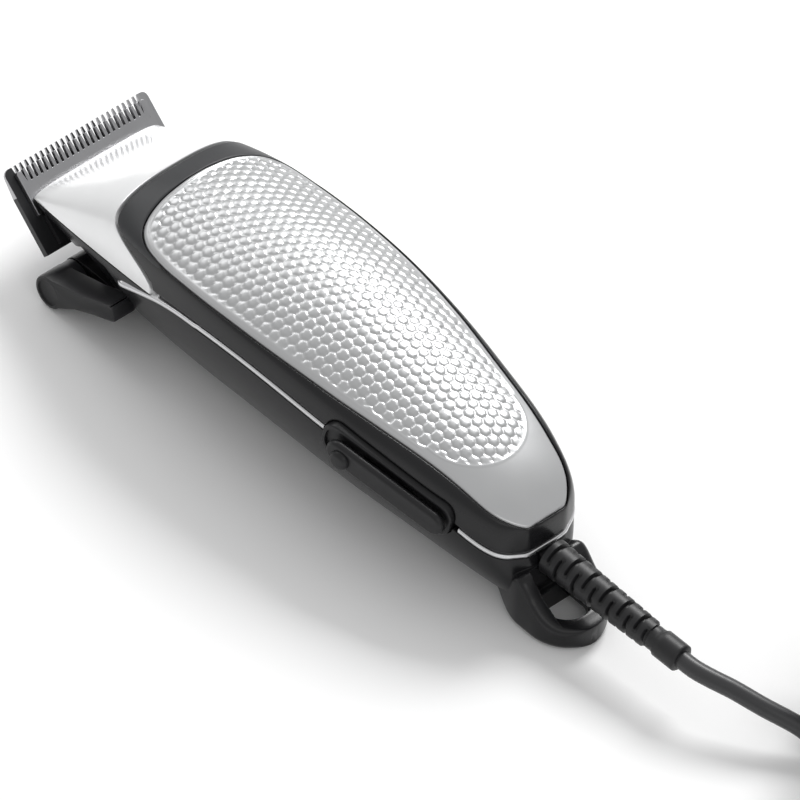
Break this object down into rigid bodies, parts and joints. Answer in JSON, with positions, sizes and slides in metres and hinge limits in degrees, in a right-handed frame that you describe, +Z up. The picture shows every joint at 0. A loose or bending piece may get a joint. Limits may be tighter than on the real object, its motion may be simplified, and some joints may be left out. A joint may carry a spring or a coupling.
{
  "type": "hair clipper",
  "caption": "Corded hair clipper with a toothed comb blade and cutter, taper lever, slide switch, patterned grip panel, hanging loop and coiled mains cord.",
  "frame": {"origin": "on the surface that the clipper lies on, at the middle of its flat belly land, halfway along the body", "axes": "+Y towards the blades, +X to the clipper's right, +Z up from the surface"},
  "size_m": [0.0973, 0.281, 0.0476],
  "materials": {
    "charcoal_plastic": "dark charcoal, satin to gloss",
    "silver_satin": "metallic silver paint, satin",
    "silver_gloss": "pearl silver, glossy",
    "trim_silver": "satin silver plating",
    "black_plastic": "black, satin",
    "blade_steel": "ground blade steel",
    "zinc_steel": "zinc plated",
    "spring_steel": "blued spring steel",
    "lamination_steel": "dark laminated iron",
    "copper_winding": "enamelled copper wire",
    "white_nylon": "natural nylon",
    "cord_rubber": "black flexible PVC",
    "nickel_pin": "nickel plated brass"
  },
  "bodies": {
    "housing": {"lower_housing": "charcoal_plastic", "grip_frame": "charcoal_plastic", "grip_panel": "silver_satin", "head_cover": "silver_gloss", "trim_left": "trim_silver", "trim_rear": "trim_silver", "switch_bezel": "black_plastic", "switch_body": "black_plastic", "blade_support": "zinc_steel", "blade_screw_left": "zinc_steel", "blade_screw_right": "zinc_steel", "cutter_spring": "spring_steel", "stator_core": "lamination_steel", "coil_bobbin": "white_nylon", "coil_winding": "copper_winding", "core_screw_front": "zinc_steel", "core_screw_rear": "zinc_steel", "leaf_spring": "spring_steel", "spring_bracket": "zinc_steel", "terminal_block": "white_nylon", "cord_clamp": "black_plastic", "clamp_screw_left": "zinc_steel", "clamp_screw_right": "zinc_steel", "housing_screw_front": "zinc_steel", "housing_screw_middle": "zinc_steel", "housing_screw_rear": "zinc_steel", "strain_relief": "cord_rubber", "mains_cord": "cord_rubber", "cord_coil": "cord_rubber", "plug_lead": "cord_rubber", "plug_body": "cord_rubber", "coil_tie": "black_plastic", "plug_pin_left": "nickel_pin", "plug_pin_right": "nickel_pin"},
    "taper_lever": {"taper_lever": "charcoal_plastic", "taper_shaft": "zinc_steel", "taper_cam": "white_nylon"},
    "comb": {"fixed_blade": "blade_steel"},
    "cutter": {"moving_blade": "blade_steel", "drive_guide": "white_nylon"},
    "armature": {"armature_block": "lamination_steel", "drive_arm": "zinc_steel"},
    "slider": {"switch_slider": "black_plastic"},
    "power_screw": {"power_screw": "zinc_steel"}
  },
  "joints": [
    {"name": "taper_lever", "type": "hinge", "parent": "housing", "child": "taper_lever", "pos_m": [-0.022, 0.0706, 0.005], "axis": [1, 0, 0], "range_deg": [0, 30]},
    {"name": "comb_slide", "type": "slide", "parent": "housing", "child": "comb", "axis": [0, -0.766, -0.6428], "range_m": [0, 0.0012]},
    {"name": "armature_swing", "type": "hinge", "parent": "housing", "child": "armature", "pos_m": [0.0095, -0.0265, 0.0195], "axis": [0, 0, 1], "range_deg": [-1, 1], "stiffness_Nm_per_rad": 2},
    {"name": "cutter_slide", "type": "slide", "parent": "housing", "child": "cutter", "axis": [1, 0, 0], "range_m": [-0.0019, 0.0019]},
    {"name": "switch_slide", "type": "slide", "parent": "housing", "child": "slider", "axis": [-0.1483, 0.9747, 0.1675], "range_m": [0, 0.0035]},
    {"name": "power_screw_turn", "type": "hinge", "parent": "housing", "child": "power_screw", "pos_m": [0.0143, 0.0115, 0.0215], "axis": [1, 0, 0], "range_deg": [-180, 180]}
  ],
  "couplings": [
    {"joint": "taper_lever", "follows": "comb_slide", "rad_per_m": 436.29},
    {"joint": "cutter_slide", "follows": "armature_swing", "m_per_rad": -0.107}
  ]
}
